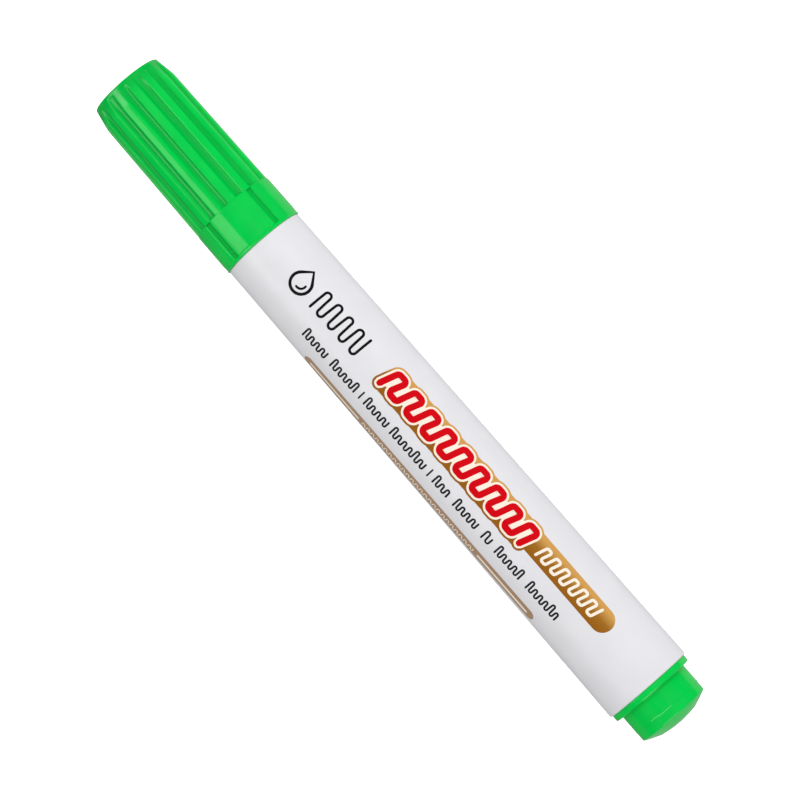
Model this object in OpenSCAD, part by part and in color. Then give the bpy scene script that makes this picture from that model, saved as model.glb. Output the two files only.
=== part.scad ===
// Whiteboard marker, capped and lying along X: the cap end at -X, the tail at +X, the print on top at +Z.
// The origin is on the marker's axis, half-way along it. Lengths called stations are measured along the
// axis from the flat top of the cap. All sizes are millimetres.

/* [Overall] */
// Length from the cap's flat top to the tip of the tail plug
overall_len = 140; // [136:1:150]

/* [Cap] */
// Length of the cap, from its flat top to its mouth
cap_len = 35.1; // [34:0.1:37]
// Diameter of the cap's tip, below its rounded edge
cap_tip_d = 13.2; // [12.9:0.1:13.6]
// Diameter over the ribs where the tapered tip ends
cap_rib_top_d = 14.58; // [14.3:0.02:14.7]
// Diameter over the ribs at the collar
cap_rib_low_d = 15.0; // [14.8:0.05:15.1]
// Length of the tapered tip
cap_taper_len = 3.9; // [3:0.1:5]
// Diameter of the collar
collar_d = 15.3; // [15.2:0.05:15.8]
// Length of the collar
collar_len = 8.1; // [7:0.1:9]
// Number of lengthwise ribs
rib_count = 15; // [12:1:16]
// Height of the ribs above the grooves, at the collar
rib_height = 0.65; // [0.4:0.05:0.75]
// Number of raised pads round the collar
pad_count = 5; // [3:1:6]
// Depth of the narrow recesses between the pads
recess_depth = 0.35; // [0.2:0.05:0.4]
// Diameter of the bore at the cap's mouth
cap_bore_d = 13.3; // [13.2:0.05:13.4]

/* [Barrel] */
// Diameter of the barrel just behind the cap
barrel_front_d = 14.88; // [14.7:0.02:15]
// Diameter of the barrel at its rear end
barrel_rear_d = 16.25; // [16:0.05:17]
// Diameter of the neck that the cap slides over
neck_d = 13.0; // [12.8:0.1:13]
// Height of the snap bead above the neck
bead_height = 0.1; // [0.05:0.01:0.1]
// Number of inner fins that centre the reservoir
fin_count = 4; // [3:1:6]

/* [Tail plug] */
// Diameter of the plug's flange
flange_d = 15.5; // [15.2:0.1:16]
// Thickness of the plug's flange
flange_len = 1.2; // [1:0.1:1.6]
// Diameter of the boss that the cap can be posted on
boss_d = 13.2; // [13:0.05:13.2]
// Length of the boss, without its conical end
boss_len = 5.2; // [4:0.1:6]
// Length of the boss's conical end
boss_cone_len = 1.3; // [1:0.1:2]
// Rise of the very flat dome on the end
dome_rise = 0.3; // [0.2:0.05:0.5]

/* [Writing parts] */
// Diameter of the nib
nib_d = 4.2; // [3.8:0.1:4.6]
// Station of the nib's tip
nib_station = 7.6; // [7.4:0.1:8.4]
// Diameter of the reservoir over its film
reservoir_d = 10.1; // [9.6:0.1:10.2]
// Length of the reservoir
reservoir_len = 92; // [80:1:92]
// Thickness of the reservoir's film
film_t = 0.08; // [0.05:0.01:0.1]

/* [Hidden] */
$fn = 96;
overlap = 0.2;                // how far joined shapes run into each other

// Directions round the axis are measured from straight up (+Z), positive towards +Y.
rib_pitch = 360 / rib_count;
pad_pitch = 360 / pad_count;
rib_turn = 5.6;               // direction of the rib nearest to the top
recess_turn = 32.5;           // direction of one of the collar's recesses

// Cap
tip_edge_r = 0.4;             // rounding of the edge round the flat top
collar_station = cap_len - collar_len;
collar_top_d = collar_d - 0.1;
lip_len = 0.7;                // plain lip between the recesses and the mouth
recess_w = 1.6;
rib_crest_w = 1.24;           // width of a rib along its crest
rib_flare = 0.5;              // half-width that a rib gains per millimetre inwards
bore_r = cap_bore_d / 2;
top_wall = 1.5;               // thickness of the cap's closed end
liner_r = 5.55;               // outer radius of the inner cap
liner_wall = 0.7;
liner_rim_station = 21.5;     // the inner cap's mouth, against the step in the shell
liner_rim_r = 6.15;
liner_rim_len = 0.9;

// Nib holder
seal_r = liner_r - liner_wall - 0.05;
nib_r = nib_d / 2;
nose_station = 11.2;          // front end of the holder, round the nib
nose_r = 3.1;
seal_station = 14.2;          // front end of the sealing cylinder
flange_station = 22.6;        // front face of the holder's flange
holder_flange_r = 6.1;
vent_w = 0.7;                 // air vents cut beside the nib
vent_depth = 0.45;

// Barrel
neck_station = 23.8;          // front end of the neck
neck_r = neck_d / 2;
bead_station = cap_len - 3.6;
bead_half = 0.7;
shoulder_r = barrel_front_d / 2;
rear_station = overall_len - flange_len - boss_len - boss_cone_len - dome_rise;
rear_r = barrel_rear_d / 2;
neck_bore_r = 5.4;
spigot_r = 7.0;               // radius of the plug's spigot and of its socket in the barrel
spigot_len = 8;
socket_station = rear_station - spigot_len;
bore_rear_r = 6.85;           // barrel's bore just ahead of the socket
fin_r = reservoir_d / 2 + 0.05;
fin_w = 0.8;
fin_start = cap_len + 1.5;

// Reservoir
core_station = 32;
core_end = min(core_station + reservoir_len, socket_station);
core_r = reservoir_d / 2 - film_t;
nib_rear = 42;                // end of the nib's straight stretch, inside the reservoir
nib_end = 44.5;               // rear point of the nib
film_setback = 0.3;           // how far the film stops short of each end of the core

// Tail plug
boss_r = boss_d / 2;
cone_top_r = 3.55;
boss_station = rear_station + flange_len;
cone_station = boss_station + boss_len;
hollow_r = 4.4;               // narrower than the reservoir, so that the plug's rim holds it forwards

// Stands a shape drawn up Z along the marker: Z runs from the cap to the tail, drawn +Y is up.
module along_marker() {
    translate([-overall_len / 2, 0, 0]) rotate([90, 0, 90]) children();
}

// Turns a shape drawn round Z from the drawn X axis to a direction measured from straight up.
module towards(turn) {
    rotate([0, 0, 90 - turn]) children();
}

// Revolves an outline of [radius, station] points.
module turned(points) {
    rotate_extrude() polygon(points);
}

// Quarter-round edge from the flat top outwards, as [radius, station] points.
function tip_edge(r) = [for (a = [90 : -22.5 : 0])
    [r - tip_edge_r + tip_edge_r * cos(a), tip_edge_r - tip_edge_r * sin(a)]];

// Everything inside the ribs' crests, from the flat top to the collar.
module crest_envelope() {
    turned(concat([[0, 0]], tip_edge(cap_tip_d / 2), [
        [cap_rib_top_d / 2 - 0.06, cap_taper_len],
        [cap_rib_top_d / 2, cap_taper_len + 0.6],
        [cap_rib_low_d / 2, collar_station + overlap],
        [0, collar_station + overlap]
    ]));
}

module ribs() {
    inner_r = 5.9;
    outer_r = 8;
    crest_r = cap_rib_low_d / 2;
    inner_w = rib_crest_w / 2 + (crest_r - inner_r) * rib_flare;
    outer_w = rib_crest_w / 2 - (outer_r - crest_r) * rib_flare;
    intersection() {
        crest_envelope();
        translate([0, 0, tip_edge_r])
            linear_extrude(collar_station + overlap - tip_edge_r)
                for (i = [0 : rib_count - 1])
                    rotate(90 - rib_turn - i * rib_pitch)
                        polygon([[inner_r, -inner_w], [outer_r, -outer_w], [outer_r, outer_w], [inner_r, inner_w]]);
    }
}

// The cap's solid core under the ribs, with the collar and its lip.
module cap_core() {
    turned(concat([[0, 0]], tip_edge(cap_tip_d / 2), [
        [cap_rib_low_d / 2 - rib_height, collar_station],
        [collar_top_d / 2 - 0.1, collar_station],
        [collar_top_d / 2, collar_station + 0.1],
        [collar_d / 2, cap_len - 0.15],
        [collar_d / 2 - 0.15, cap_len],
        [0, cap_len]
    ]));
}

module collar_recesses() {
    floor_r = collar_d / 2 - recess_depth;
    for (i = [0 : pad_count - 1])
        towards(recess_turn + i * pad_pitch)
            translate([floor_r, -recess_w / 2, collar_station - overlap])
                cube([2, recess_w, collar_len - lip_len + overlap]);
}

// Bore for the neck, groove for the snap bead, and the narrower seat of the inner cap.
module cap_hollow() {
    turned([
        [0, top_wall],
        [liner_r, top_wall],
        [liner_r, liner_rim_station - liner_rim_len],
        [liner_rim_r, liner_rim_station - liner_rim_len],
        [liner_rim_r, liner_rim_station],
        [bore_r, liner_rim_station],
        [bore_r, bead_station - bead_half - 0.2],
        [bore_r + 0.12, bead_station - 0.2],
        [bore_r + 0.12, bead_station + 0.2],
        [bore_r, bead_station + bead_half + 0.2],
        [bore_r, cap_len - 0.3],
        [bore_r + 0.3, cap_len],
        [bore_r + 0.3, cap_len + 1],
        [0, cap_len + 1]
    ]);
}

module cap_shell() {
    color([0.01, 0.78, 0.30])
        along_marker() difference() {
            union() {
                cap_core();
                ribs();
            }
            cap_hollow();
            collar_recesses();
        }
}

module inner_cap() {
    inner_r = liner_r - liner_wall;
    color([0.93, 0.94, 0.92])
        along_marker() turned([
            [0, top_wall],
            [liner_r, top_wall],
            [liner_r, liner_rim_station - liner_rim_len],
            [liner_rim_r, liner_rim_station - liner_rim_len],
            [liner_rim_r, liner_rim_station],
            [inner_r + 0.3, liner_rim_station],
            [inner_r, liner_rim_station - 0.5],
            [inner_r, top_wall + liner_wall + 0.4],
            [inner_r - 0.4, top_wall + liner_wall],
            [0, top_wall + liner_wall]
        ]);
}

module barrel_tube() {
    bead_r = neck_r + bead_height;
    turned([
        [neck_bore_r, neck_station],
        [neck_r - 0.3, neck_station],
        [neck_r, neck_station + 0.5],
        [neck_r, bead_station - bead_half],
        [bead_r, bead_station - 0.2],
        [bead_r, bead_station + 0.2],
        [neck_r, bead_station + bead_half],
        [neck_r, cap_len],
        [shoulder_r - 0.15, cap_len],
        [shoulder_r, cap_len + 0.15],
        [rear_r, rear_station - 0.25],
        [rear_r - 0.07, rear_station - 0.07],
        [rear_r - 0.25, rear_station],
        [spigot_r, rear_station],
        [spigot_r, socket_station],
        [bore_rear_r, socket_station],
        [neck_bore_r + 0.4, cap_len + 4],
        [neck_bore_r, cap_len]
    ]);
}

module barrel_fins() {
    fin_outer_r = 7.1;        // ends inside the tube's wall
    for (i = [0 : fin_count - 1])
        towards(45 + i * 360 / fin_count)
            translate([fin_r, -fin_w / 2, fin_start])
                cube([fin_outer_r - fin_r, fin_w, socket_station - 4 - fin_start]);
}

module barrel() {
    color([0.93, 0.93, 0.94])
        along_marker() union() {
            barrel_tube();
            barrel_fins();
        }
}

module nib_holder() {
    cup_r = 4.5;
    color([0.93, 0.93, 0.94])
        along_marker() difference() {
            turned([
                [nib_r, nose_station],
                [nose_r - 0.2, nose_station],
                [nose_r, nose_station + 0.2],
                [seal_r - 0.2, seal_station],
                [seal_r, seal_station + 0.4],
                [seal_r, flange_station],
                [holder_flange_r - 0.15, flange_station],
                [holder_flange_r, flange_station + 0.15],
                [holder_flange_r, neck_station],
                [neck_bore_r, neck_station],
                [neck_bore_r, core_station],
                [cup_r, core_station],
                [cup_r, core_station - 4.5],
                [nib_r, core_station - 5]
            ]);
            for (turn = [45 : 90 : 315])
                towards(turn)
                    translate([0, -vent_w / 2, nose_station - 1])
                        cube([nib_r + vent_depth, vent_w, core_station - nose_station - 2]);
        }
}

// The nib's outline: a rounded bullet tip, a straight stretch, and a rear point.
module nib_profile() {
    cap_r = 1.5;              // rounding of the very tip
    cone_len = 2.6;
    turned(concat(
        [for (a = [0 : 15 : 60])
            [cap_r * sin(a), nib_station + cap_r - cap_r * cos(a)]],
        [
            [nib_r - 0.12, nib_station + cone_len - 0.5],
            [nib_r, nib_station + cone_len],
            [nib_r, nib_rear],
            [0.5, nib_end],
            [0, nib_end]
        ]
    ));
}

module nib() {
    color([0.05, 0.50, 0.20])
        along_marker() nib_profile();
}

module reservoir_core() {
    color([0.35, 0.72, 0.45])
        along_marker() turned([
            [nib_r, core_station],
            [core_r, core_station],
            [core_r, core_end],
            [0, core_end],
            [0, nib_end],
            [0.5, nib_end],
            [nib_r, nib_rear]
        ]);
}

module reservoir_film() {
    color([0.85, 0.90, 0.88])
        along_marker() turned([
            [core_r, core_station + film_setback],
            [core_r + film_t, core_station + film_setback],
            [core_r + film_t, core_end - film_setback],
            [core_r, core_end - film_setback]
        ]);
}

// Spigot, flange and boss in one hollow piece, open towards the reservoir.
module plug_cup() {
    floor_station = cone_station - 0.2;
    turned([
        [hollow_r, socket_station],
        [spigot_r - 0.4, socket_station],
        [spigot_r, socket_station + 0.8],
        [spigot_r, rear_station],
        [flange_d / 2 - 0.15, rear_station],
        [flange_d / 2, rear_station + 0.15],
        [flange_d / 2, boss_station - 0.15],
        [flange_d / 2 - 0.15, boss_station],
        [boss_r, boss_station],
        [boss_r, cone_station],
        [cone_top_r, cone_station + boss_cone_len],
        [cone_top_r * 0.5, overall_len - dome_rise * 0.25],
        [0, overall_len],
        [0, floor_station],
        [hollow_r, floor_station]
    ]);
}

module tail_plug() {
    color([0.01, 0.78, 0.30])
        along_marker() plug_cup();
}

cap_shell();
inner_cap();
barrel();
nib_holder();
nib();
reservoir_core();
reservoir_film();
tail_plug();
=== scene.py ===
import math

import bmesh
import bpy
from mathutils import Matrix, Vector


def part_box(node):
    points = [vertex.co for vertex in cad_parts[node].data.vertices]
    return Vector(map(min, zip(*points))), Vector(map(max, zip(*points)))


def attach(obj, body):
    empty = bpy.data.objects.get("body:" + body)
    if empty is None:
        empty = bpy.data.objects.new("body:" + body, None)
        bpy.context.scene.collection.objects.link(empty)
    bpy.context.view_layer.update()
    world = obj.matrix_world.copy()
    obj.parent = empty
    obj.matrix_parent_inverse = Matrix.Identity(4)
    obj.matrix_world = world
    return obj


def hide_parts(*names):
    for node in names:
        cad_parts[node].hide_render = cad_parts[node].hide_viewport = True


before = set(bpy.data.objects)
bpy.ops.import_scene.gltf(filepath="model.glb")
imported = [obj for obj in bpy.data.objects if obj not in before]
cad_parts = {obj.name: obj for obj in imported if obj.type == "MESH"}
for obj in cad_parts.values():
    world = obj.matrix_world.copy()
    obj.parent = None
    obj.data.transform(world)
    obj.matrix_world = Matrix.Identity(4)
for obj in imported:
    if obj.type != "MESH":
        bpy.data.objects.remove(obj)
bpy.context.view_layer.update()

# A capped whiteboard marker lying along X, cap at -X and tail at +X, printed side up (+Z).
# Shapes are written in millimetres: stations along the axis count from the flat top of the cap,
# and directions round the axis are degrees from straight up (+Z), positive towards +Y.
MM = 0.001

cap_low, cap_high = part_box("cap_shell")
barrel_low, barrel_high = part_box("barrel")
plug_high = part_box("tail_plug")[1]
nib_low, nib_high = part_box("nib")
holder_low, holder_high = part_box("nib_holder")
liner_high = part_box("inner_cap")[1]
TOP_X = cap_low.x


def station(x):
    """Millimetres along the axis from the cap's flat top."""
    return (x - TOP_X) / MM


MOUTH = station(cap_high.x)
NECK_FRONT = station(barrel_low.x)
REAR = station(barrel_high.x)
TAIL = station(plug_high.x)
COLLAR_R = cap_high.z / MM
REAR_R = barrel_high.z / MM
FLANGE_R = plug_high.z / MM

# Barrel: its shoulder, the neck in front of it with the snap bead, and the socket for the tail plug
SHOULDER_R = 7.44
NECK_R = 6.5
NECK_BORE_R = 5.4
BEAD_STATION = MOUTH - 3.6
BEAD_R = 6.6
SOCKET_START = REAR - 8
SOCKET_R = 7.0

# Cap's outside: radius at the flat top and gain per millimetre, for the tip, the draft and the grooves
TIP_R, TIP_GAIN = 6.583, 0.185
DRAFT_R, DRAFT_GAIN = 7.258, 0.0095
FLOOR_R, FLOOR_GAIN = 6.56, 0.0096
TIP_EDGE = 0.42

# Ribs, with directions and half-widths in degrees
RIB_COUNT = 15
RIB_PITCH = 360 / RIB_COUNT
RIB_TURN = 5.6
RIB_CREST_HALF = 5.25
RIB_BASE_HALF = 8.0
RIB_SOFTNESS = 0.26
VALLEY = 0.2

# Collar's pads and the recesses between them
PAD_COUNT = 5
PAD_PITCH = 360 / PAD_COUNT
RECESS_TURN = 31.4
RECESS_HALF = 2.9
RECESS_EDGE = 1.2
RECESS_DEPTH = 0.5
PAD_END = MOUTH - 0.5
PAD_ROUND = 0.42
PAD_PILLOW = 0.12
COLLAR_START = 27.0
COLLAR_EDGE = 0.3
COLLAR_FILLET = 0.28
LIP_EDGE = 0.16

# Cap's inside, and the inner cap that it holds
CAP_BORE_R = 6.65
TOP_WALL = 1.5
LINER_R = 5.55
LINER_BORE_R = 4.85
LINER_RIM_R = 6.15
LINER_RIM_LEN = 0.9
LINER_RIM = station(liner_high.x)


# ---------------------------------------------------------------- meshes

def soft_ramp(t, e):
    """0 to 1 as t goes from 0 to 1, with both corners rounded over e."""
    if t <= -e:
        return 0.0
    if t >= 1 + e:
        return 1.0
    if t < e:
        return (t + e) ** 2 / (4 * e)
    if t > 1 - e:
        return 1 - (1 + e - t) ** 2 / (4 * e)
    return t


def wrapped(angle, pitch):
    """The angle's distance from the nearest multiple of pitch, signed."""
    return (angle + pitch / 2) % pitch - pitch / 2


def even_columns(count):
    """Directions round the axis, evenly spread."""
    return [360 * i / count for i in range(count)]


def columns_at(centres, offsets, base=()):
    """Directions round the axis: every offset either side of every centre, without near doubles."""
    found = {round((c + s * o) % 360, 3) for c in centres for o in offsets for s in (-1, 1)}
    found |= {round(b % 360, 3) for b in base}
    kept = []
    for a in sorted(found):
        if not kept or a - kept[-1] > 0.12:
            kept.append(a)
    return kept


def rounded(points, steps=5):
    """Outline of (station, radius, rounding) corners, closed, with each corner turned into an arc."""
    out = []
    n = len(points)
    for i, (s, r, f) in enumerate(points):
        here = Vector((s, r))
        a = Vector(points[i - 1][:2]) - here
        b = Vector(points[(i + 1) % n][:2]) - here
        half = a.angle(b) / 2
        if f <= 0 or half > math.radians(89.5):
            out.append((s, r))
            continue
        reach = min(f / math.tan(half), a.length * 0.49, b.length * 0.49)
        f = reach * math.tan(half)
        centre = here + (a.normalized() + b.normalized()).normalized() * (f / math.sin(half))
        first = here + a.normalized() * reach - centre
        last = here + b.normalized() * reach - centre
        turn = first.angle_signed(last)
        for k in range(steps + 1):
            p = Matrix.Rotation(-turn * k / steps, 2) @ first + centre
            out.append((p.x, p.y))
    return out


def ring_mesh(bm, rings, columns, closed=False):
    """Adds a surface round the axis. A ring is (station, radius), where radius may be a function of the
    direction, and a ring of radius 0 is a single point on the axis."""
    made = []
    for s, radius in rings:
        x = TOP_X + s * MM
        if not callable(radius) and abs(radius) < 1e-6:
            made.append([bm.verts.new((x, 0, 0))])
            continue
        ring = []
        for a in columns:
            r = (radius(a) if callable(radius) else radius) * MM
            t = math.radians(a)
            ring.append(bm.verts.new((x, r * math.sin(t), r * math.cos(t))))
        made.append(ring)
    pairs = list(zip(made, made[1:]))
    if closed:
        pairs.append((made[-1], made[0]))
    n = len(columns)
    for one, two in pairs:
        for i in range(n):
            j = (i + 1) % n
            if len(one) == 1 and len(two) == 1:
                break
            if len(one) == 1:
                bm.faces.new((one[0], two[i], two[j]))
            elif len(two) == 1:
                bm.faces.new((one[i], two[0], one[j]))
            else:
                bm.faces.new((one[i], two[i], two[j], one[j]))


def piece(name, bm, body, material, stands_for=(), sharp=38):
    """Turns a bmesh into a shaded object that rides on a body."""
    bmesh.ops.recalc_face_normals(bm, faces=bm.faces)
    mesh = bpy.data.meshes.new(name)
    bm.to_mesh(mesh)
    bm.free()
    mesh.shade_smooth()
    mesh.set_sharp_from_angle(angle=math.radians(sharp))
    obj = bpy.data.objects.new(name, mesh)
    bpy.context.scene.collection.objects.link(obj)
    mesh.materials.append(material)
    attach(obj, body)
    if stands_for:
        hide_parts(*stands_for)
    return obj


# ---------------------------------------------------------------- materials

class Nodes:
    """A material's node tree, with short calls for the nodes that it uses."""

    def __init__(self, name):
        self.material = bpy.data.materials.new(name)
        self.material.use_nodes = True
        self.tree = self.material.node_tree
        self.shader = self.tree.nodes["Principled BSDF"]
        self.place = self.node("ShaderNodeTexCoord").outputs["Object"]

    def node(self, kind, **settings):
        made = self.tree.nodes.new(kind)
        for key, value in settings.items():
            setattr(made, key, value)
        return made

    def link(self, source, target):
        self.tree.links.new(source, target)

    def stretched(self, along, across):
        """Coordinates scaled by one number along the marker and another across it."""
        made = self.node("ShaderNodeMapping")
        made.inputs["Scale"].default_value = (along, across, across)
        self.link(self.place, made.inputs["Vector"])
        return made.outputs["Vector"]

    def noise(self, vector, scale, detail=3.0, roughness=0.5):
        made = self.node("ShaderNodeTexNoise")
        made.inputs["Scale"].default_value = scale
        made.inputs["Detail"].default_value = detail
        made.inputs["Roughness"].default_value = roughness
        self.link(vector, made.inputs["Vector"])
        return made.outputs["Fac"]

    def ramp(self, value, *stops):
        made = self.node("ShaderNodeValToRGB")
        ramp = made.color_ramp
        while len(ramp.elements) < len(stops):
            ramp.elements.new(0.5)
        for element, (place, colour) in zip(ramp.elements, stops):
            element.position = place
            element.color = (*colour, 1)
        self.link(value, made.inputs["Fac"])
        return made.outputs["Color"]

    def spread(self, value, low, high, from_low=0.3, from_high=0.7):
        made = self.node("ShaderNodeMapRange")
        settings = {"From Min": from_low, "From Max": from_high, "To Min": low, "To Max": high}
        for key, number in settings.items():
            made.inputs[key].default_value = number
        self.link(value, made.inputs["Value"])
        return made.outputs["Result"]

    def bump(self, height, strength, distance, below=None):
        made = self.node("ShaderNodeBump")
        made.inputs["Strength"].default_value = strength
        made.inputs["Distance"].default_value = distance
        self.link(height, made.inputs["Height"])
        if below is not None:
            self.link(below, made.inputs["Normal"])
        return made.outputs["Normal"]

    def painted_groove_shade(self, tone, shade_tone):
        """Painted shade: the tone on the cap's crests and pads, darkened towards the floors of the grooves and
        recesses between them, where shade falls.
        """
        split = self.node("ShaderNodeSeparateXYZ")
        self.link(self.place, split.inputs["Vector"])
        out = self.node("ShaderNodeCombineXYZ")
        self.link(split.outputs["Y"], out.inputs["Y"])
        self.link(split.outputs["Z"], out.inputs["Z"])
        radius = self.node("ShaderNodeVectorMath", operation="LENGTH")
        self.link(out.outputs["Vector"], radius.inputs[0])
        on_collar = self.spread(split.outputs["X"], 0, 0.38 * MM, TOP_X + COLLAR_START * MM,
                                TOP_X + (COLLAR_START + 0.1) * MM)
        height = self.node("ShaderNodeMath", operation="SUBTRACT")
        self.link(radius.outputs["Value"], height.inputs[0])
        self.link(on_collar, height.inputs[1])
        level = self.spread(height.outputs["Value"], 0, 1, 6.8 * MM, 7.25 * MM)
        mix = self.node("ShaderNodeMix", data_type="RGBA")
        self.link(level, mix.inputs[0])
        mix.inputs[6].default_value = (*shade_tone, 1)
        self.link(tone, mix.inputs[7])
        return mix.outputs[2]

    def finish(self, colour, roughness, normal=None):
        self.link(colour, self.shader.inputs["Base Color"])
        self.link(roughness, self.shader.inputs["Roughness"])
        if normal is not None:
            self.link(normal, self.shader.inputs["Normal"])
        return self.material


def shade(colour, factor):
    return tuple(min(1.0, c * factor) for c in colour)


def moulded(name, colour, rough, gloss=0.4, grain=0.5, translucency=0.0, variation=0.06, groove_shade=0.0):
    """Injection-moulded plastic: faint cloudy colour, drawn flow marks along the part, fine surface grain.
    With groove_shade above 0, painted shade darkens the colour towards the floors of the cap's grooves and
    recesses."""
    n = Nodes(name)
    cloud = n.noise(n.place, 260, 2.0)
    tone = n.ramp(cloud, (0.3, shade(colour, 1 - variation)), (0.7, shade(colour, 1 + variation / 2)))
    # Painted shade: the colour darkens towards the floors of the cap's grooves and recesses.
    if groove_shade:
        tone = n.painted_groove_shade(tone, shade(colour, 1 - groove_shade))
    flow = n.noise(n.stretched(60, 900), 1.0, 3.0, 0.6)
    polish = n.spread(flow, rough - 0.05, rough + 0.07)
    waves = n.bump(flow, 0.06 * grain, 0.00005)
    surface = n.bump(n.noise(n.place, 9000, 4.0, 0.6), 0.22 * grain, 0.00002, waves)
    n.shader.inputs["Specular IOR Level"].default_value = gloss
    if translucency:
        n.shader.inputs["Subsurface Weight"].default_value = translucency
        n.shader.inputs["Subsurface Scale"].default_value = 0.0008
        n.shader.inputs["Subsurface Radius"].default_value = (0.4, 1.0, 0.5)
    return n.finish(tone, polish, surface)


def printed_ink(name, colour, variation=0.05, gloss=0.3):
    """Screen-printed ink: slight density change, mesh grain and a soft gloss."""
    n = Nodes(name)
    density = n.noise(n.place, 1500, 3.0)
    tone = n.ramp(density, (0.3, shade(colour, 1 - variation)), (0.7, shade(colour, 1 + variation)))
    grain = n.noise(n.place, 14000, 2.0)
    n.shader.inputs["Specular IOR Level"].default_value = gloss
    return n.finish(tone, n.spread(density, 0.29, 0.42), n.bump(grain, 0.1, 0.00001))


def sheen_graded_ink(name, stops, low_turn, high_turn, gloss=0.15):
    """Ink with painted sheen: its colour runs between the stops by the direction it faces round the barrel, so
    that it looks metallic.
    """
    n = Nodes(name)
    split = n.node("ShaderNodeSeparateXYZ")
    n.link(n.place, split.inputs["Vector"])
    turn = n.node("ShaderNodeMath", operation="ARCTAN2")
    n.link(split.outputs["Y"], turn.inputs[0])
    n.link(split.outputs["Z"], turn.inputs[1])
    # Painted sheen: the colour follows the direction the ink faces round the barrel.
    level = n.spread(turn.outputs["Value"], 0, 1, math.radians(low_turn), math.radians(high_turn))
    grain = n.noise(n.place, 12000, 2.0)
    n.shader.inputs["Specular IOR Level"].default_value = gloss
    return n.finish(n.ramp(level, *stops), n.spread(grain, 0.24, 0.38), n.bump(grain, 0.12, 0.00001))


def fibrous(name, dark, light, along, across):
    """Bonded fibre: fine threads drawn out along the marker, with darker pores between them."""
    n = Nodes(name)
    threads = n.noise(n.stretched(along, across), 1.0, 5.0, 0.65)
    tone = n.ramp(threads, (0.32, dark), (0.62, light))
    pores = n.node("ShaderNodeTexVoronoi")
    pores.inputs["Scale"].default_value = 1.0
    n.link(n.stretched(along * 2, across * 1.5), pores.inputs["Vector"])
    raised = n.bump(threads, 0.7, 0.00006)
    n.shader.inputs["Sheen Weight"].default_value = 0.25
    surface = n.bump(pores.outputs["Distance"], 0.3, 0.00004, raised)
    return n.finish(tone, n.spread(threads, 0.75, 0.95), surface)


def clear_film(name, colour):
    """Thin wrapped film: mostly clear, with faint lengthwise creases."""
    n = Nodes(name)
    crease = n.noise(n.stretched(120, 1400), 1.0, 4.0)
    tone = n.ramp(crease, (0.3, shade(colour, 0.9)), (0.7, colour))
    n.shader.inputs["Alpha"].default_value = 0.35
    return n.finish(tone, n.spread(crease, 0.12, 0.3), n.bump(crease, 0.4, 0.00004))


def floor_finish(name):
    """A pale sheet lit from below, so that it stays white round the marker."""
    n = Nodes(name)
    cloud = n.noise(n.place, 4, 3.0)
    tone = n.ramp(cloud, (0.3, (0.90, 0.90, 0.90)), (0.7, (0.93, 0.93, 0.93)))
    n.shader.inputs["Specular IOR Level"].default_value = 0.1
    n.shader.inputs["Emission Color"].default_value = (1, 1, 1, 1)
    n.shader.inputs["Emission Strength"].default_value = 0.85
    return n.finish(tone, n.spread(cloud, 0.7, 0.9))


BRIGHT_GREEN = (0.0005, 0.65, 0.077)
GREEN = moulded("green_plastic", BRIGHT_GREEN, 0.13, gloss=0.5, grain=0.2)
# The cap's green has painted shade on the floors of its grooves and recesses.
CAP_GREEN_SHADED = moulded("cap_green_plastic_groove_shaded", BRIGHT_GREEN, 0.13, gloss=0.5, grain=0.2, groove_shade=0.22)
WHITE = moulded("white_plastic", (0.805, 0.80, 0.83), 0.33, variation=0.02)
HOLDER_WHITE = moulded("holder_plastic", (0.79, 0.79, 0.80), 0.3, variation=0.02)
LINER = moulded("liner_plastic", (0.80, 0.83, 0.80), 0.4, translucency=0.4, variation=0.03)
NIB = fibrous("nib_fibre", (0.002, 0.09, 0.02), (0.01, 0.30, 0.07), 1200, 9000)
CORE = fibrous("reservoir_fibre", (0.02, 0.22, 0.06), (0.14, 0.55, 0.22), 300, 6000)
FILM = clear_film("reservoir_film", (0.75, 0.85, 0.78))
RED = printed_ink("red_ink", (0.665, 0.0005, 0.006), gloss=0.05)
CREAM = printed_ink("cream_ink", (0.97, 0.87, 0.74), variation=0.02)
BLACK = printed_ink("black_ink", (0.006, 0.006, 0.008))
# Painted sheen on the gold: dark near the top line, light at 21 degrees towards +Y, where the light falls.
GOLD_SHEEN_STOPS = ((0.0, (0.32, 0.112, 0.003)), (0.5, (0.355, 0.145, 0.009)), (1.0, (0.655, 0.345, 0.085)))
GOLD = sheen_graded_ink("gold_ink", GOLD_SHEEN_STOPS, -4, 21)
# Painted reflection on the low band: its gold is lighter towards the barrel's edge at -80 degrees than at -55.
GOLD_LOW_SHEEN_STOPS = ((0.0, (0.48, 0.33, 0.22)), (1.0, (0.42, 0.25, 0.14)))
GOLD_LOW = sheen_graded_ink("gold_ink_low", GOLD_LOW_SHEEN_STOPS, -80, -55, gloss=0.35)


# ---------------------------------------------------------------- cap

def crest_r(s):
    """Radius over the ribs: the tapered tip, softly joined to the long draft."""
    tip = TIP_R + TIP_GAIN * s
    draft = DRAFT_R + DRAFT_GAIN * s
    blend = 0.06
    h = max(blend - abs(tip - draft), 0) / blend
    return min(tip, draft) - h * h * blend / 4


def floor_r(s):
    """Radius along the edges of the grooves' floors."""
    return min(crest_r(s), FLOOR_R + FLOOR_GAIN * s)


def rib(angle):
    """1 on a rib's crest and 0 along the middle of a groove, whose floor is hollow."""
    d = abs(wrapped(angle - RIB_TURN, RIB_PITCH))
    wall = soft_ramp((RIB_BASE_HALF - d) / (RIB_BASE_HALF - RIB_CREST_HALF), RIB_SOFTNESS)
    to_middle = max(0.0, d - RIB_BASE_HALF) / (RIB_PITCH / 2 - RIB_BASE_HALF)
    return (1 - VALLEY) * wall + VALLEY * (1 - to_middle) ** 2


def ribbed(s, angle):
    """Radius of the ribbed part, whose grooves run out towards the flat top."""
    depth = (crest_r(s) - floor_r(s)) * soft_ramp((s - 0.45) / 0.5, 0.4)
    return crest_r(s) - depth * (1 - rib(angle))


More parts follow.
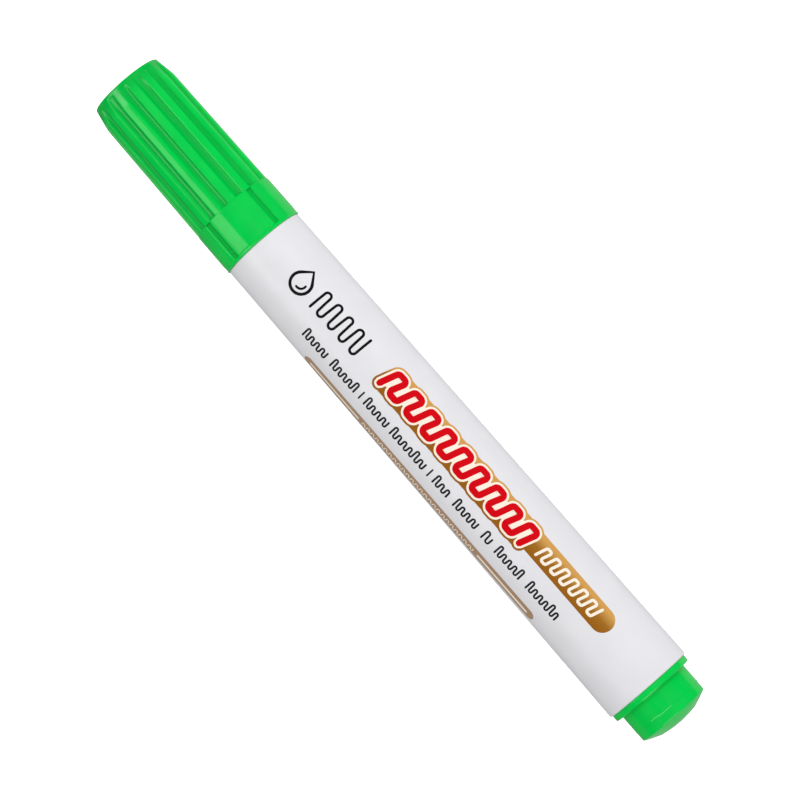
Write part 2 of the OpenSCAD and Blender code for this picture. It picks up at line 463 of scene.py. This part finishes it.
def collar_r(s, angle):
    """Radius of the collar: pads parted by narrow recesses. The front pad is flat and the others pillowed."""
    draft = COLLAR_R - 0.05 * (MOUTH - s) / (MOUTH - COLLAR_START)
    witness = 0.07 * max(0.0, 1 - abs(s - PAD_END - 0.05) / 0.22)
    beyond_floor = abs(wrapped(angle - RECESS_TURN, PAD_PITCH)) - RECESS_HALF
    drop = RECESS_DEPTH * soft_ramp((RECESS_EDGE - beyond_floor) / RECESS_EDGE, 0.35)
    from_front = abs(wrapped(angle - RECESS_TURN + PAD_PITCH / 2, 360))
    if from_front > PAD_PITCH / 2:
        across = math.radians(beyond_floor - RECESS_EDGE) * COLLAR_R
        short = max(0.0, PAD_ROUND - max(0.0, across))
        along = max(0.0, min(s - COLLAR_START, PAD_END - s))
        pillow = PAD_PILLOW * max(0.0, 1 - along / 0.9) ** 2
        drop = max(drop, PAD_ROUND - math.sqrt(PAD_ROUND ** 2 - short ** 2) + pillow)
    return draft - max(drop * soft_ramp((PAD_END - s) / 0.25, 0.4), witness)


def cap_shell():
    rib_centres = [RIB_TURN + i * RIB_PITCH for i in range(RIB_COUNT)]
    pad_centres = [RECESS_TURN + i * PAD_PITCH for i in range(PAD_COUNT)]
    across_rib = (0, 1.6, 2.9, 3.8, 4.5, 4.9, 5.3, 5.7, 6.1, 6.5, 7.0, 7.5, 7.9, 8.3, 8.7, 9.5, 10.5, 12)
    across_recess = (0, 1.4, 2.4, 2.8, 3.1, 3.4, 3.7, 4.0, 4.2, 4.45, 4.8, 5.2, 5.7, 6.3, 7.0, 7.6, 9.0, 12)
    columns = columns_at(pad_centres, across_recess, columns_at(rib_centres, across_rib))

    gate_mark = [(0.12, 0), (0.12, 0.45), (0.22, 0.55), (0.25, 1.3), (0.12, 1.55), (0.0, 1.75), (0.0, 4.5)]
    rings = list(gate_mark)
    for k in range(9):
        a = math.radians(90 * k / 8)
        r = crest_r(TIP_EDGE) - TIP_EDGE + TIP_EDGE * math.sin(a)
        rings.append((TIP_EDGE - TIP_EDGE * math.cos(a), r))
    tip = [0.55, 0.7, 0.85, 1.0, 1.2, 1.45, 1.75, 2.1, 2.5, 2.9, 3.2, 3.45, 3.65, 3.85, 4.05, 4.3, 4.7, 5.4]
    body = [7 + 1.5 * i for i in range(13)] + [26.0, 26.4]
    rings += [(s, lambda a, s=s: ribbed(s, a)) for s in tip + body]

    for k in range(6):
        t = math.radians(90 * k / 6)
        s = COLLAR_START - COLLAR_FILLET + COLLAR_FILLET * math.sin(t)
        lift = COLLAR_FILLET * (1 - math.cos(t))
        rings.append((s, lambda a, s=s, lift=lift: max(
            ribbed(s, a), min(ribbed(s, a) + lift, collar_r(COLLAR_START, a) - COLLAR_EDGE))))
    for k in range(8):
        t = math.radians(90 * k / 7)
        s = COLLAR_START + COLLAR_EDGE - COLLAR_EDGE * math.cos(t)
        drop = COLLAR_EDGE * (1 - math.sin(t))
        rings.append((s, lambda a, s=s, drop=drop: max(
            ribbed(COLLAR_START, a) if drop > 0.02 else 0, collar_r(s, a) - drop)))
    along_collar = [27.45, 27.65, 27.85, 28.1, 28.6, 29.8, 31.2, 32.4, 33.1, 33.4, 33.65, 33.85]
    along_collar += [34.1, 34.25, 34.33, 34.4, 34.46, 34.52, 34.6, 34.65, 34.72, 34.8, 34.87]
    rings += [(s, lambda a, s=s: collar_r(s, a)) for s in along_collar]

    for k in range(1, 6):
        t = math.radians(90 * k / 5)
        r = COLLAR_R - LIP_EDGE + LIP_EDGE * math.cos(t)
        rings.append((MOUTH - LIP_EDGE + LIP_EDGE * math.sin(t), r))
    groove_r = CAP_BORE_R + 0.12
    step = LINER_RIM - LINER_RIM_LEN
    inside = rounded([
        (MOUTH, CAP_BORE_R + 0.3, 0.06), (MOUTH - 0.3, CAP_BORE_R, 0.1),
        (BEAD_STATION + 0.9, CAP_BORE_R, 0.1), (BEAD_STATION + 0.2, groove_r, 0.2),
        (BEAD_STATION - 0.2, groove_r, 0.2), (BEAD_STATION - 0.9, CAP_BORE_R, 0.1),
        (LINER_RIM, CAP_BORE_R, 0.15), (LINER_RIM, LINER_RIM_R, 0), (step, LINER_RIM_R, 0),
        (step, LINER_R, 0.05), (TOP_WALL, LINER_R, 0), (TOP_WALL, 3.0, 0),
    ], 3)
    rings += inside + [(TOP_WALL, 0)]
    bm = bmesh.new()
    ring_mesh(bm, rings, columns)
    return piece("cap_shell_moulding", bm, "cap", CAP_GREEN_SHADED, ["cap_shell"], 50)


def inner_cap():
    """A thin-walled cup with a wider rim. Its corners make a loop, so the ends on the axis are added."""
    rim_r = liner_high.z / MM
    floor = TOP_WALL + 0.7
    step = LINER_RIM - LINER_RIM_LEN
    outline = rounded([
        (TOP_WALL, LINER_R, 0.3), (step, LINER_R, 0.1), (step, rim_r, 0.12),
        (LINER_RIM, rim_r, 0.2), (LINER_RIM, LINER_BORE_R + 0.3, 0.12), (LINER_RIM - 0.5, LINER_BORE_R, 0.15),
        (floor, LINER_BORE_R, 0.5), (floor, 1.0, 0),
    ], 4)
    start, end = [(TOP_WALL, 0), (TOP_WALL, 2.5)], [(floor, 1.0), (floor, 0)]
    bm = bmesh.new()
    ring_mesh(bm, start + outline[:-1] + end, even_columns(128))
    return piece("inner_cap_liner", bm, "cap", LINER, ["inner_cap"])


# ---------------------------------------------------------------- barrel and its parts

def barrel_r(s):
    """Radius of the barrel's drafted outside."""
    return SHOULDER_R + (REAR_R - SHOULDER_R) * (s - MOUTH) / (REAR - MOUTH)


def barrel():
    """Neck with its snap bead, shoulder, drafted tube and socket, and the inner fins."""
    corners = [
        (NECK_FRONT, NECK_BORE_R, 0.1), (NECK_FRONT, NECK_R, 0.35), (BEAD_STATION - 0.7, NECK_R, 0.3),
        (BEAD_STATION - 0.15, BEAD_R, 0.3), (BEAD_STATION + 0.15, BEAD_R, 0.3),
        (BEAD_STATION + 0.7, NECK_R, 0.3), (MOUTH, NECK_R, 0.12), (MOUTH, SHOULDER_R, 0.16),
    ]
    corners += [(s, barrel_r(s), 0) for s in (40, 55, 70, 85, 100, 115, 128)]
    corners += [
        (REAR, REAR_R, 0.3), (REAR, SOCKET_R, 0.08), (SOCKET_START, SOCKET_R, 0.05),
        (SOCKET_START, SOCKET_R - 0.15, 0.05), (MOUTH + 4, 5.8, 0.5), (MOUTH, NECK_BORE_R, 0.5),
    ]
    bm = bmesh.new()
    ring_mesh(bm, rounded(corners, 6), even_columns(240), closed=True)
    inner_fins(bm)
    return piece("barrel_moulding", bm, "pen", WHITE, ["barrel"], 40)


def inner_fins(bm):
    """Four lengthwise fins inside the barrel, which centre the reservoir."""
    start, end, tip_r, half_w = MOUTH + 1.5, REAR - 12, 5.1, 0.4
    for i in range(4):
        turn = Matrix.Rotation(math.radians(45 + 90 * i), 4, "X")
        made = bmesh.ops.create_cube(bm, size=1)["verts"]
        for v in made:
            near = v.co.z < 0
            root = 5.9 if v.co.x < 0 else 7.0
            v.co.x = TOP_X + (start if v.co.x < 0 else end) * MM
            v.co.y = math.copysign(half_w * (0.8 if near else 1.15), v.co.y) * MM
            v.co.z = (tip_r if near else root) * MM
            v.co = turn @ v.co


def tail_plug():
    """A hollow cup: spigot, flange, boss with a fine moulded ring round it, and a shallow cone end."""
    boss_r, boss_start, hollow_r = 6.6, REAR + 1.2, 4.4
    cone = boss_start + 5.2
    corners = [
        (SOCKET_START, hollow_r, 0.1), (SOCKET_START, 6.6, 0.1), (SOCKET_START + 0.8, SOCKET_R, 0.3),
        (REAR, SOCKET_R, 0.05),
        (REAR, FLANGE_R, 0.14), (boss_start, FLANGE_R, 0.28), (boss_start, boss_r, 0.14),
        (cone - 1.9, boss_r, 0.05), (cone - 1.72, boss_r + 0.05, 0.06), (cone - 1.54, boss_r - 0.02, 0.05),
        (cone - 1.0, boss_r - 0.02, 0), (cone, boss_r - 0.02, 0.3), (cone + 0.62, 5.2, 1.5),
        (TAIL - 0.35, 3.6, 1.6),
    ]
    outside = rounded(corners + [(TAIL, 0.4, 0), (SOCKET_START, 4.0, 0)], 6)
    outside = outside[:-2] + [(TAIL - 0.16, 2.2), (TAIL - 0.04, 1.1), (TAIL, 0)]
    hollow = [
        (cone - 0.2, 0), (cone - 0.2, 3.4), (cone - 0.22, 3.8), (cone - 0.35, 4.15), (cone - 0.7, 4.35),
        (cone - 1.2, hollow_r),
    ]
    bm = bmesh.new()
    ring_mesh(bm, hollow + outside, even_columns(200))
    return piece("tail_plug_moulding", bm, "pen", GREEN, ["tail_plug"], 40)


def nib_holder():
    """Nose, sealing cylinder, flange and spigot, with four air vents cut beside the nib."""
    nib_r = nib_high.z / MM
    front, back = station(holder_low.x), station(holder_high.x)
    flange_r = holder_high.z / MM
    vent_half = math.degrees(0.35 / nib_r)
    vents = [45, 135, 225, 315]
    columns = columns_at(vents, (0, 4, 8, vent_half, vent_half + 1.5), even_columns(96))

    def bore(angle):
        d = abs(wrapped(angle - 45, 90))
        return nib_r + 0.02 + 0.45 * soft_ramp((vent_half + 0.8 - d) / 1.4, 0.3)

    seal_r, seal, flange = 4.8, 14.2, 22.6
    outside = rounded([
        (front, 2.75, 0.05), (front, 3.1, 0.15), (seal, seal_r - 0.15, 0.3), (seal + 0.5, seal_r, 0.3),
        (flange, seal_r, 0.15), (flange, flange_r, 0.15), (NECK_FRONT, flange_r, 0.1),
        (NECK_FRONT, NECK_BORE_R, 0),
        (back, NECK_BORE_R, 0.2), (back, 4.5, 0.1), (back - 4.5, 4.5, 0.3), (back - 5, 2.9, 0.1),
    ], 4)
    inside = [(back - 5, bore), (back - 8, bore), (front + 3, bore), (front, bore)]
    bm = bmesh.new()
    ring_mesh(bm, outside + inside, columns, closed=True)
    return piece("nib_holder_moulding", bm, "pen", HOLDER_WHITE, ["nib_holder"], 35)


def nib():
    """Round bullet tip, straight body, and a rear point that feeds from the reservoir."""
    r, bullet = nib_high.z / MM, 2.7
    tip, back = station(nib_low.x), station(nib_high.x)
    rings = [(tip, 0)]
    for k in range(1, 12):
        t = k / 12
        rings.append((tip + bullet * t ** 1.9, r * (1 - (1 - t) ** 1.75)))
    rings += [(tip + bullet, r), (tip + bullet + 0.4, r), (tip + 8, r), (back - 2.5, r)]
    rings += [(back, 0.5), (back, 0)]
    bm = bmesh.new()
    ring_mesh(bm, rings, even_columns(96))
    return piece("nib_felt", bm, "pen", NIB, ["nib"])


# ---------------------------------------------------------------- print on the barrel
# Print is laid out flat in millimetres: station along the marker, and distance round the barrel from
# its top line, positive towards +Y.

INK_SINK = 0.02
CUT_ROUND = 0.4
CUT_ALONG = 6


def on_barrel(s, w, lift):
    """The place of a flat point of the print, lifted off the barrel's surface."""
    r = barrel_r(s)
    t = w / r
    return Vector((TOP_X + s * MM, (r + lift) * math.sin(t) * MM, (r + lift) * math.cos(t) * MM))


def ink(name, shapes, material, lift):
    """Lays flat shapes on the barrel as one thin closed layer of ink, cut finely to follow its curve."""
    bm = bmesh.new()
    for shape in shapes:
        if isinstance(shape, tuple):
            left, right = shape
            rows = [[bm.verts.new((*a, 0)), bm.verts.new((*b, 0))] for a, b in zip(left, right)]
            for one, two in zip(rows, rows[1:]):
                bm.faces.new((one[0], two[0], two[1], one[1]))
        else:
            bm.faces.new([bm.verts.new((s, w, 0)) for s, w in shape])
    bmesh.ops.remove_doubles(bm, verts=bm.verts, dist=1e-4)
    bmesh.ops.recalc_face_normals(bm, faces=bm.faces)
    wide = [v.co.y for v in bm.verts]
    w = math.floor(min(wide)) - 0.013
    while w < max(wide):
        everything = list(bm.verts) + list(bm.edges) + list(bm.faces)
        bmesh.ops.bisect_plane(bm, geom=everything, plane_co=(0, w, 0), plane_no=(0, 1, 0))
        w += CUT_ROUND
    long = [v.co.x for v in bm.verts]
    s = math.floor(min(long)) + 0.017
    while s < max(long):
        everything = list(bm.verts) + list(bm.edges) + list(bm.faces)
        bmesh.ops.bisect_plane(bm, geom=everything, plane_co=(s, 0, 0), plane_no=(1, 0, 0))
        s += CUT_ALONG
    bmesh.ops.triangulate(bm, faces=bm.faces)
    top = list(bm.faces)
    rim = [e for e in bm.edges if e.is_boundary]
    flat = {v: (v.co.x, v.co.y) for v in bm.verts}
    under = {v: bm.verts.new(on_barrel(*flat[v], -INK_SINK)) for v in list(flat)}
    for face in top:
        bm.faces.new([under[v] for v in reversed(face.verts)])
    for edge in rim:
        a, b = edge.verts
        bm.faces.new((a, b, under[b], under[a]))
    for v, place in flat.items():
        v.co = on_barrel(*place, lift)
    return piece(name, bm, "pen", material)


def block(s0, s1, w0, w1, radius, steps):
    """Rounded rectangle."""
    radius = min(radius, (s1 - s0) / 2 - 1e-4, (w1 - w0) / 2 - 1e-4)
    out = []
    for cs, cw, start in ((s1 - radius, w1 - radius, 0), (s0 + radius, w1 - radius, 90),
                          (s0 + radius, w0 + radius, 180), (s1 - radius, w0 + radius, 270)):
        for k in range(steps + 1):
            a = math.radians(start + 90 * k / steps)
            out.append((cs + radius * math.cos(a), cw + radius * math.sin(a)))
    return out


def stroke(points, width, closed=False):
    """A pen stroke of even width along a path, as (left, right) rows. An open one has round ends."""
    left, right = [], []
    last = len(points) - 1
    half = width / 2
    path = [Vector(p) for p in points]
    for i, p in enumerate(path):
        before = path[i - 1] if i or closed else p
        after = path[(i + 1) % len(path)] if i < last or closed else p
        d = (after - before).normalized()
        across = Vector((-d.y, d.x))
        rows = [(0, 1)]
        if i == 0 and not closed:
            rows = [(-0.95, 0.31), (-0.7, 0.71), (0, 1)]
        if i == last and not closed:
            rows = [(0, 1), (0.7, 0.71), (0.95, 0.31)]
        for ahead, side in rows:
            left.append(tuple(p + d * (ahead * half) + across * (side * half)))
            right.append(tuple(p + d * (ahead * half) - across * (side * half)))
    if closed:
        left.append(left[0])
        right.append(right[0])
    return left, right


def taut(pegs, steps=9):
    """The path of a line drawn taut round pegs of (place, radius). It turns clockwise round a peg whose
    radius is positive and the other way round one whose radius is negative; a radius of 0 is a point."""
    headings = []
    for (a, ra), (b, rb) in zip(pegs, pegs[1:]):
        d = b - a
        headings.append(math.atan2(d.y, d.x) + math.asin((rb - ra) / d.length))
    path = [pegs[0][0]]
    for (centre, r), come, go in zip(pegs[1:], headings, headings[1:]):
        swing = (go - come) % (2 * math.pi)
        if r > 0:
            swing -= 2 * math.pi
        for k in range(steps + 1 if r else 1):
            h = come + swing * k / steps
            path.append(centre + Vector((-math.sin(h), math.cos(h))) * r)
    return path + [pegs[-1][0]]


def winding(s0, s1, low, high, pitch, slant=0.0, rise=0.0, tall=0.0, square=0.0):
    """A line that runs up and down from s0 to s1 with round turns, like a pen trying its ink. Every
    fourth turn at the top reaches further by tall. With square above 0 the turns have flat tops, and
    square is the radius of their corners."""
    turns = max(2, round((s1 - s0) / pitch))
    step = (s1 - s0) / turns
    r = square or 0.46 * step
    pegs = [(Vector((s0, low)), 0)]
    for k in range(turns):
        up = k % 2 == 0
        w = high - r + (tall if k % 8 == 0 else 0) if up else low + r
        for inset in ((r, step - r) if square else (step / 2,)):
            pegs.append((Vector((s0 + step * k + inset + slant * (w - low), w)), r if up else -r))
    end = high if turns % 2 == 0 else low
    pegs.append((Vector((s1 + slant * (end - low), end)), 0))
    return [Vector((p.x, p.y + rise * (p.x - s0))) for p in taut(pegs)]


def outline_round(path, margin):
    """The outline of everything within a margin of a path that runs from left to right."""
    start = min(p.x for p in path) - margin
    end = max(p.x for p in path) + margin
    count = 400
    top, bottom = [], []
    for i in range(count + 1):
        s = (start + end) / 2 - (end - start) / 2 * math.cos(math.pi * i / count)
        within = [p for p in path if abs(p.x - s) <= margin]
        near = [(p.y, math.sqrt(max(margin ** 2 - (p.x - s) ** 2, 0))) for p in within]
        if near:
            top.append((s, max(w + reach for w, reach in near)))
            bottom.append((s, min(w - reach for w, reach in near)))
    return top + bottom[::-1]


def dense(path):
    """The same path with points close together."""
    gap = 0.08
    out = [path[0]]
    for a, b in zip(path, path[1:]):
        count = max(1, math.ceil((b - a).length / gap))
        out += [a.lerp(b, k / count) for k in range(1, count + 1)]
    return out


# Widths of the banner's red line and of the pale and gold borders round it
BANNER_STROKE = 1.12
BANNER_PALE = 0.37
BANNER_GOLD = 0.34

# The drop mark: place and radius of its round part, and its point
DROP = Vector((44.85, 0.35))
DROP_R = 1.85
DROP_TIP = Vector((44.85, 3.2))

# The row of small wavy words: start and end of each, the dashes between them, the height and pitch of
# the waves, and how much the row climbs per millimetre
WORDS = [(51.1, 56.6), (57.9, 64.0), (66.3, 71.8), (72.8, 81.0), (83.4, 87.0), (88.5, 94.0), (95.5, 97.4),
         (98.8, 104.9), (106.5, 113.8)]
WORD_DASHES = (65.2, 82.2)
WORD_LINE = -5.5
WORD_HEIGHT = 1.28
WORD_TURN = 0.66
WORD_RISE = 0.0095

# The lower band: its ends and edges, how much it climbs per millimetre, and its pale middle line
BAND_START = 54.0
BAND_RISE = 0.0085
BAND_MIDDLE = -9.4


def barrel_print():
    """A gold pill and a bordered red banner on top, a drop and wavy lines beside them, and a low gold band."""
    pill = block(97, 121.0, -0.75, 3.55, 2.15, steps=12)
    ink("print_gold_pill", [pill], GOLD, 0.012)
    banner = winding(65.7, 100.5, -0.66, 2.8, 2.05, slant=0.30, square=0.62)
    between = [Vector((65.9, -0.5)), Vector((100.5, -0.5)), Vector((101.3, 2.5)), Vector((66.8, 2.5))]
    edge = outline_round(dense(banner) + dense(between), BANNER_STROKE / 2 + BANNER_PALE + BANNER_GOLD)
    ink("print_banner_edge", [edge], GOLD, 0.022)
    middle = [(s + 0.3 * w, w) for s, w in ((66.2, -0.3), (100.2, -0.3), (100.2, 2.4), (66.2, 2.4))]
    ink("print_banner_fill", [middle], CREAM, 0.027)
    ink("print_banner_ground", [stroke(banner, BANNER_STROKE + 2 * BANNER_PALE)], CREAM, 0.032)
    ink("print_banner_line", [stroke(banner, BANNER_STROKE)], RED, 0.042)
    pale = winding(103.7, 117.1, 0.15, 2.35, 1.12, slant=0.26, rise=0.01, square=0.36)
    ink("print_pill_line", [stroke(pale, 0.5)], CREAM, 0.022)

    drop = taut([(DROP_TIP, 0), (DROP, DROP_R), (DROP_TIP, 0)], 40)[1:]
    glint = [DROP + Vector((0.95 * math.cos(a), 0.95 * math.sin(a)))
             for a in [math.radians(d) for d in range(-100, 11, 10)]]
    marks = [stroke(drop, 0.52, closed=True), stroke(glint, 0.4)]
    marks.append(stroke(winding(48.7, 59.5, -1.06, 2.86, 1.35), 0.46))
    for s0, s1 in WORDS:
        low = WORD_LINE + WORD_RISE * (s0 - 51)
        wave = winding(s0 + 0.15, s1 - 0.15, low, low + WORD_HEIGHT, WORD_TURN, rise=WORD_RISE, tall=0.55)
        marks.append(stroke(wave, 0.35))
    for s in WORD_DASHES:
        low = WORD_LINE + WORD_RISE * (s - 51)
        marks.append(stroke([(s, low), (s, low + 0.8), (s, low + 1.6)], 0.3))
    ink("print_black_marks", marks, BLACK, 0.012)

    flat_band = block(BAND_START, 111.3, -10.6, -8.15, 1.2, steps=10)
    band = [(s, w + BAND_RISE * (s - BAND_START)) for s, w in flat_band]
    ink("print_lower_band", [band], GOLD_LOW, 0.012)
    lines = []
    for s0, s1 in ((55.6, 67.4), (97.6, 109.6)):
        path = [(s, BAND_MIDDLE + BAND_RISE * (s - BAND_START)) for s in (s0, (s0 + s1) / 2, s1)]
        lines.append(stroke(path, 0.55))
    low = BAND_MIDDLE - 0.45 + BAND_RISE * 14.6
    lines.append(stroke(winding(68.6, 96.3, low, low + 0.9, 0.55, rise=BAND_RISE), 0.18))
    ink("print_lower_lines", lines, CREAM, 0.022)


# ---------------------------------------------------------------- stage

def round_axis(turn, distance, x=0.0):
    """A place round the marker's axis: turn is its direction from straight up, towards +Y."""
    t = math.radians(turn)
    return Vector((x, math.sin(t) * distance, math.cos(t) * distance))


def area_light(name, place, target, length, width, watts, glossy=True, diffuse=True):
    """A soft rectangular light at a place, its long side along the marker, that faces the target."""
    light = bpy.data.lights.new(name, "AREA")
    light.shape = "RECTANGLE"
    light.size = length
    light.size_y = width
    light.energy = watts
    obj = bpy.data.objects.new(name, light)
    bpy.context.scene.collection.objects.link(obj)
    back = (place - target).normalized()
    along = (Vector((1, 0, 0)) - back * back.x).normalized()
    turned = Matrix((along, back.cross(along), back)).transposed().to_4x4()
    obj.matrix_world = Matrix.Translation(place) @ turned
    obj.visible_glossy = glossy
    obj.visible_diffuse = diffuse
    obj.visible_camera = False
    return obj


WORLD_STRENGTH = 0.775
SOFTBOX_X = -0.48
GLINT_X = -0.58
TABLE_Z = -0.1


def stage():
    """A white floor with no shadow, an even white world, and lights that are seen only in reflections."""
    bm = bmesh.new()
    bmesh.ops.create_grid(bm, x_segments=8, y_segments=8, size=1.6)
    mesh = bpy.data.meshes.new("floor")
    bm.to_mesh(mesh)
    bm.free()
    floor = bpy.data.objects.new("floor", mesh)
    floor.location.z = barrel_low.z - 0.00005
    bpy.context.scene.collection.objects.link(floor)
    mesh.materials.append(floor_finish("floor_white"))
    for ray in ("diffuse", "glossy", "shadow"):
        setattr(floor, "visible_" + ray, False)

    world = bpy.data.worlds.new("studio")
    world.use_nodes = True
    background = world.node_tree.nodes["Background"]
    background.inputs["Color"].default_value = (1, 1, 1, 1)
    background.inputs["Strength"].default_value = WORLD_STRENGTH
    bpy.context.scene.world = world
    world.cycles_visibility.glossy = False

    overhead = round_axis(27, 1.1, x=-0.3)
    area_light("overhead_fill", overhead, Vector((0, 0, 0)), 1.0, 1.0, 4.7, glossy=False)
    window = round_axis(-49.5, 0.9, x=SOFTBOX_X)
    area_light("strip_softbox", window, Vector((SOFTBOX_X, 0, 0)), 0.95, 0.53, 2.6, diffuse=False)
    glint = round_axis(-32, 0.9, x=GLINT_X)
    area_light("tip_glint", glint, Vector((GLINT_X, 0, 0)), 0.15, 0.38, 0.33, diffuse=False)
    tail_card, tail = Vector((0.55, -0.1, 0.35)), Vector((0.07, 0, 0))
    area_light("tail_card", tail_card, tail, 0.6, 0.5, 1.9, diffuse=False)
    for name, y, width, watts in (("near_table", 0.1425, 0.375, 0.64), ("far_table", -0.27, 0.45, 0.20)):
        below = Vector((0, y, TABLE_Z))
        area_light(name, below, below + Vector((0, 0, 1)), 1.2, width, watts, diffuse=False)
    bpy.context.scene.view_settings.view_transform = "Standard"


CAMERA_DISTANCE = 0.739
CAMERA_LEAN = 3.3
PICTURE_SLOPE = 49.0
LENS = 200.9


def camera():
    """Looks down on the printed side, with the tail a little nearer than the cap."""
    lean = math.radians(CAMERA_LEAN)
    aim = Vector((-0.0004, 0, 0))
    back = Vector((math.sin(lean), 0, math.cos(lean)))
    along = Vector((math.cos(lean), 0, -math.sin(lean)))
    slope = math.radians(PICTURE_SLOPE)
    right = along * math.cos(slope) + Vector((0, 1, 0)) * math.sin(slope)
    up = Vector((0, 1, 0)) * math.cos(slope) - along * math.sin(slope)
    data = bpy.data.cameras.new("camera")
    data.lens = LENS
    data.sensor_width = 36
    data.clip_start = 0.01
    obj = bpy.data.objects.new("camera", data)
    turned = Matrix((right, up, back)).transposed().to_4x4()
    obj.matrix_world = Matrix.Translation(aim + back * CAMERA_DISTANCE) @ turned
    bpy.context.scene.collection.objects.link(obj)
    bpy.context.scene.camera = obj


def dress_cad_nodes():
    """The hidden nodes whose CAD shape is already right get their real material."""
    for name, material in (("reservoir_core", CORE), ("reservoir_film", FILM)):
        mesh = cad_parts[name].data
        mesh.materials.clear()
        mesh.materials.append(material)


camera()
stage()
dress_cad_nodes()
cap_shell()
inner_cap()
barrel()
tail_plug()
nib_holder()
nib()
barrel_print()
